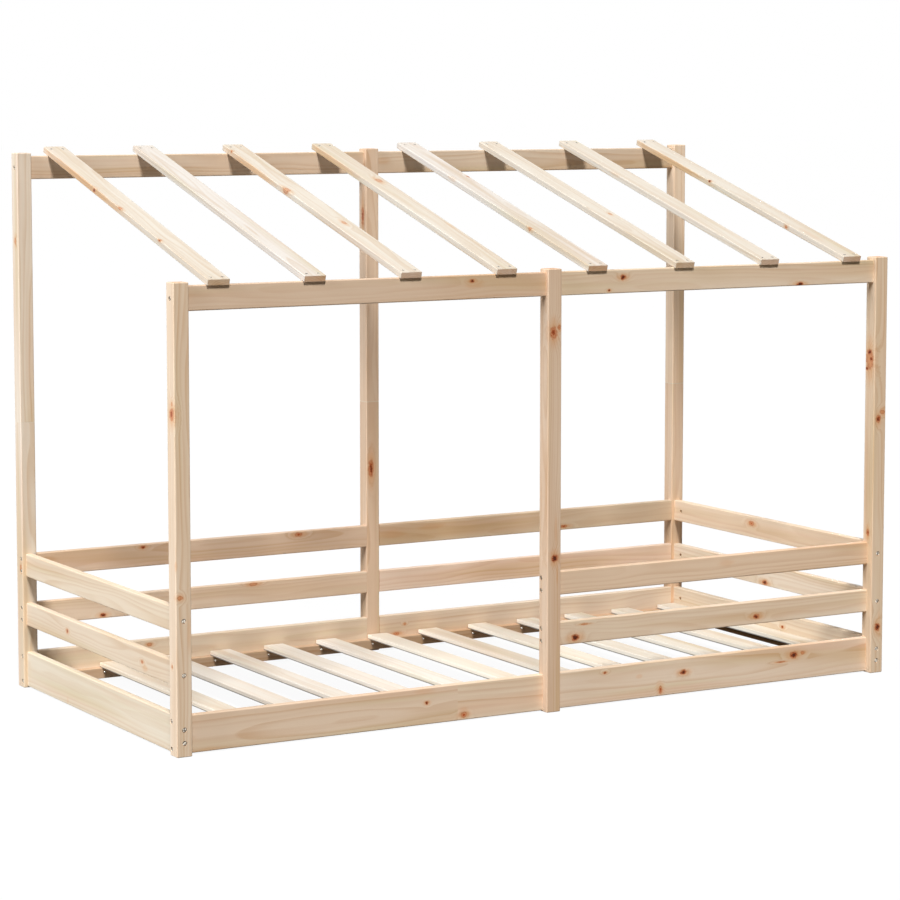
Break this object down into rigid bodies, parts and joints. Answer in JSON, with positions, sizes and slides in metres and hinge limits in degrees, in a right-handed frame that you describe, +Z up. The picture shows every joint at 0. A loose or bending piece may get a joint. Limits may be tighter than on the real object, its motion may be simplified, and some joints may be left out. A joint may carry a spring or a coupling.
{
  "type": "kids bed",
  "caption": "Low pine house bed for a child: posts carry a sloping roof of open slats over a slatted base, with boards and guard rails round it and a front bay left open to climb in.",
  "frame": {"origin": "on the floor, in the middle of the bed", "axes": "+X along the bed to the right, seen from the front; +Y from the open front to the back; +Z up"},
  "size_m": [2.086, 0.992, 1.4152],
  "materials": {
    "post_pine": "planed and unfinished",
    "board_pine": "planed and unfinished",
    "rail_pine": "planed and unfinished",
    "beam_pine": "planed and unfinished",
    "roof_slat_pine": "planed and unfinished",
    "bed_slat_pine": "planed and unfinished",
    "ledge_pine": "planed and unfinished",
    "peg_wood": "planed and unfinished",
    "bolt_steel": "zinc plated",
    "nut_steel": "zinc plated",
    "stud_steel": "zinc plated",
    "screw_steel": "zinc plated"
  },
  "bodies": {
    "root": {"barrel_nuts": "nut_steel", "bed_slat_01": "bed_slat_pine", "bed_slat_02": "bed_slat_pine", "bed_slat_03": "bed_slat_pine", "bed_slat_04": "bed_slat_pine", "bed_slat_05": "bed_slat_pine", "bed_slat_06": "bed_slat_pine", "bed_slat_07": "bed_slat_pine", "bed_slat_08": "bed_slat_pine", "bed_slat_09": "bed_slat_pine", "bed_slat_10": "bed_slat_pine", "bed_slat_11": "bed_slat_pine", "bed_slat_12": "bed_slat_pine", "bed_slat_13": "bed_slat_pine", "bed_slat_screws": "screw_steel", "connector_bolts": "bolt_steel", "front_ledge": "ledge_pine", "front_left_beam": "beam_pine", "front_left_board": "board_pine", "front_left_post": "post_pine", "front_middle_post": "post_pine", "front_right_beam": "beam_pine", "front_right_board": "board_pine", "front_right_lower_rail": "rail_pine", "front_right_post": "post_pine", "front_right_upper_rail": "rail_pine", "ledge_screws": "screw_steel", "left_end_board": "board_pine", "left_end_lower_rail": "rail_pine", "left_end_upper_rail": "rail_pine", "post_joint_pegs": "peg_wood", "post_joint_studs": "stud_steel", "rear_ledge": "ledge_pine", "rear_left_beam": "beam_pine", "rear_left_board": "board_pine", "rear_left_lower_post": "post_pine", "rear_left_lower_rail": "rail_pine", "rear_left_upper_post": "post_pine", "rear_left_upper_rail": "rail_pine", "rear_middle_lower_post": "post_pine", "rear_middle_upper_post": "post_pine", "rear_right_beam": "beam_pine", "rear_right_board": "board_pine", "rear_right_lower_post": "post_pine", "rear_right_lower_rail": "rail_pine", "rear_right_upper_post": "post_pine", "rear_right_upper_rail": "rail_pine", "right_end_board": "board_pine", "right_end_lower_rail": "rail_pine", "right_end_upper_rail": "rail_pine", "roof_slat_1": "roof_slat_pine", "roof_slat_2": "roof_slat_pine", "roof_slat_3": "roof_slat_pine", "roof_slat_4": "roof_slat_pine", "roof_slat_5": "roof_slat_pine", "roof_slat_6": "roof_slat_pine", "roof_slat_7": "roof_slat_pine", "roof_slat_8": "roof_slat_pine", "roof_slat_screws": "screw_steel", "through_studs": "stud_steel"}
  },
  "joints": []
}
